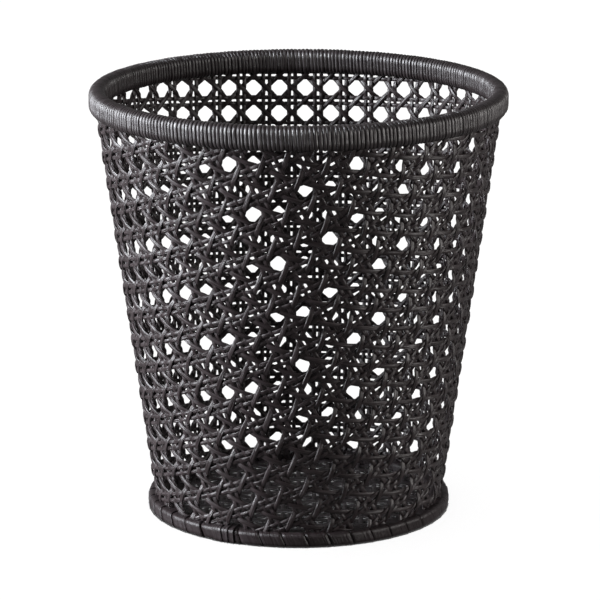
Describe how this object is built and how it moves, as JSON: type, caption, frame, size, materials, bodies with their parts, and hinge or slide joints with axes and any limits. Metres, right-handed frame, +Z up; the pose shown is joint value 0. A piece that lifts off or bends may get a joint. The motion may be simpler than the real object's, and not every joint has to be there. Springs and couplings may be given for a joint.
{
  "type": "wastebasket",
  "caption": "Open round tapered wastebasket of octagonal cane webbing, with a wound cane rim, a strip-wound foot and a plain-woven bottom.",
  "frame": {"origin": "centre of the foot, on the plane that the basket stands on", "axes": "+Z up along the basket's axis, towards the open rim; -Y towards the splice of the foot's winding, +X close to the seam of the webbing"},
  "size_m": [0.294, 0.294, 0.305],
  "materials": {
    "cane_webbing": "split cane dyed black, satin, with fine lengthwise grain",
    "cane_winding": "narrow cane dyed black, satin, wound turn by turn",
    "foot_strip": "flat cane strip dyed black, satin, slightly worn along its edges",
    "rattan_pole": "bare rattan pole, sanded",
    "brad_steel": "plain steel wire",
    "base_cane": "flat cane strip dyed black, matt"
  },
  "bodies": {
    "root": {"rim_outer_hoop": "rattan_pole", "rim_inner_hoop": "rattan_pole", "rim_top_hoop": "rattan_pole", "rim_brads": "brad_steel", "rim_wrap": "cane_winding", "wall_uprights_first": "cane_webbing", "wall_uprights_second": "cane_webbing", "wall_crosswise_lower": "cane_webbing", "wall_crosswise_upper": "cane_webbing", "wall_diagonals_rising": "cane_webbing", "wall_diagonals_falling": "cane_webbing", "foot_outer_hoop": "rattan_pole", "foot_inner_hoop": "rattan_pole", "foot_brads": "brad_steel", "foot_wrap": "foot_strip", "foot_splice": "foot_strip", "base_warps": "base_cane", "base_wefts": "base_cane"}
  },
  "joints": []
}
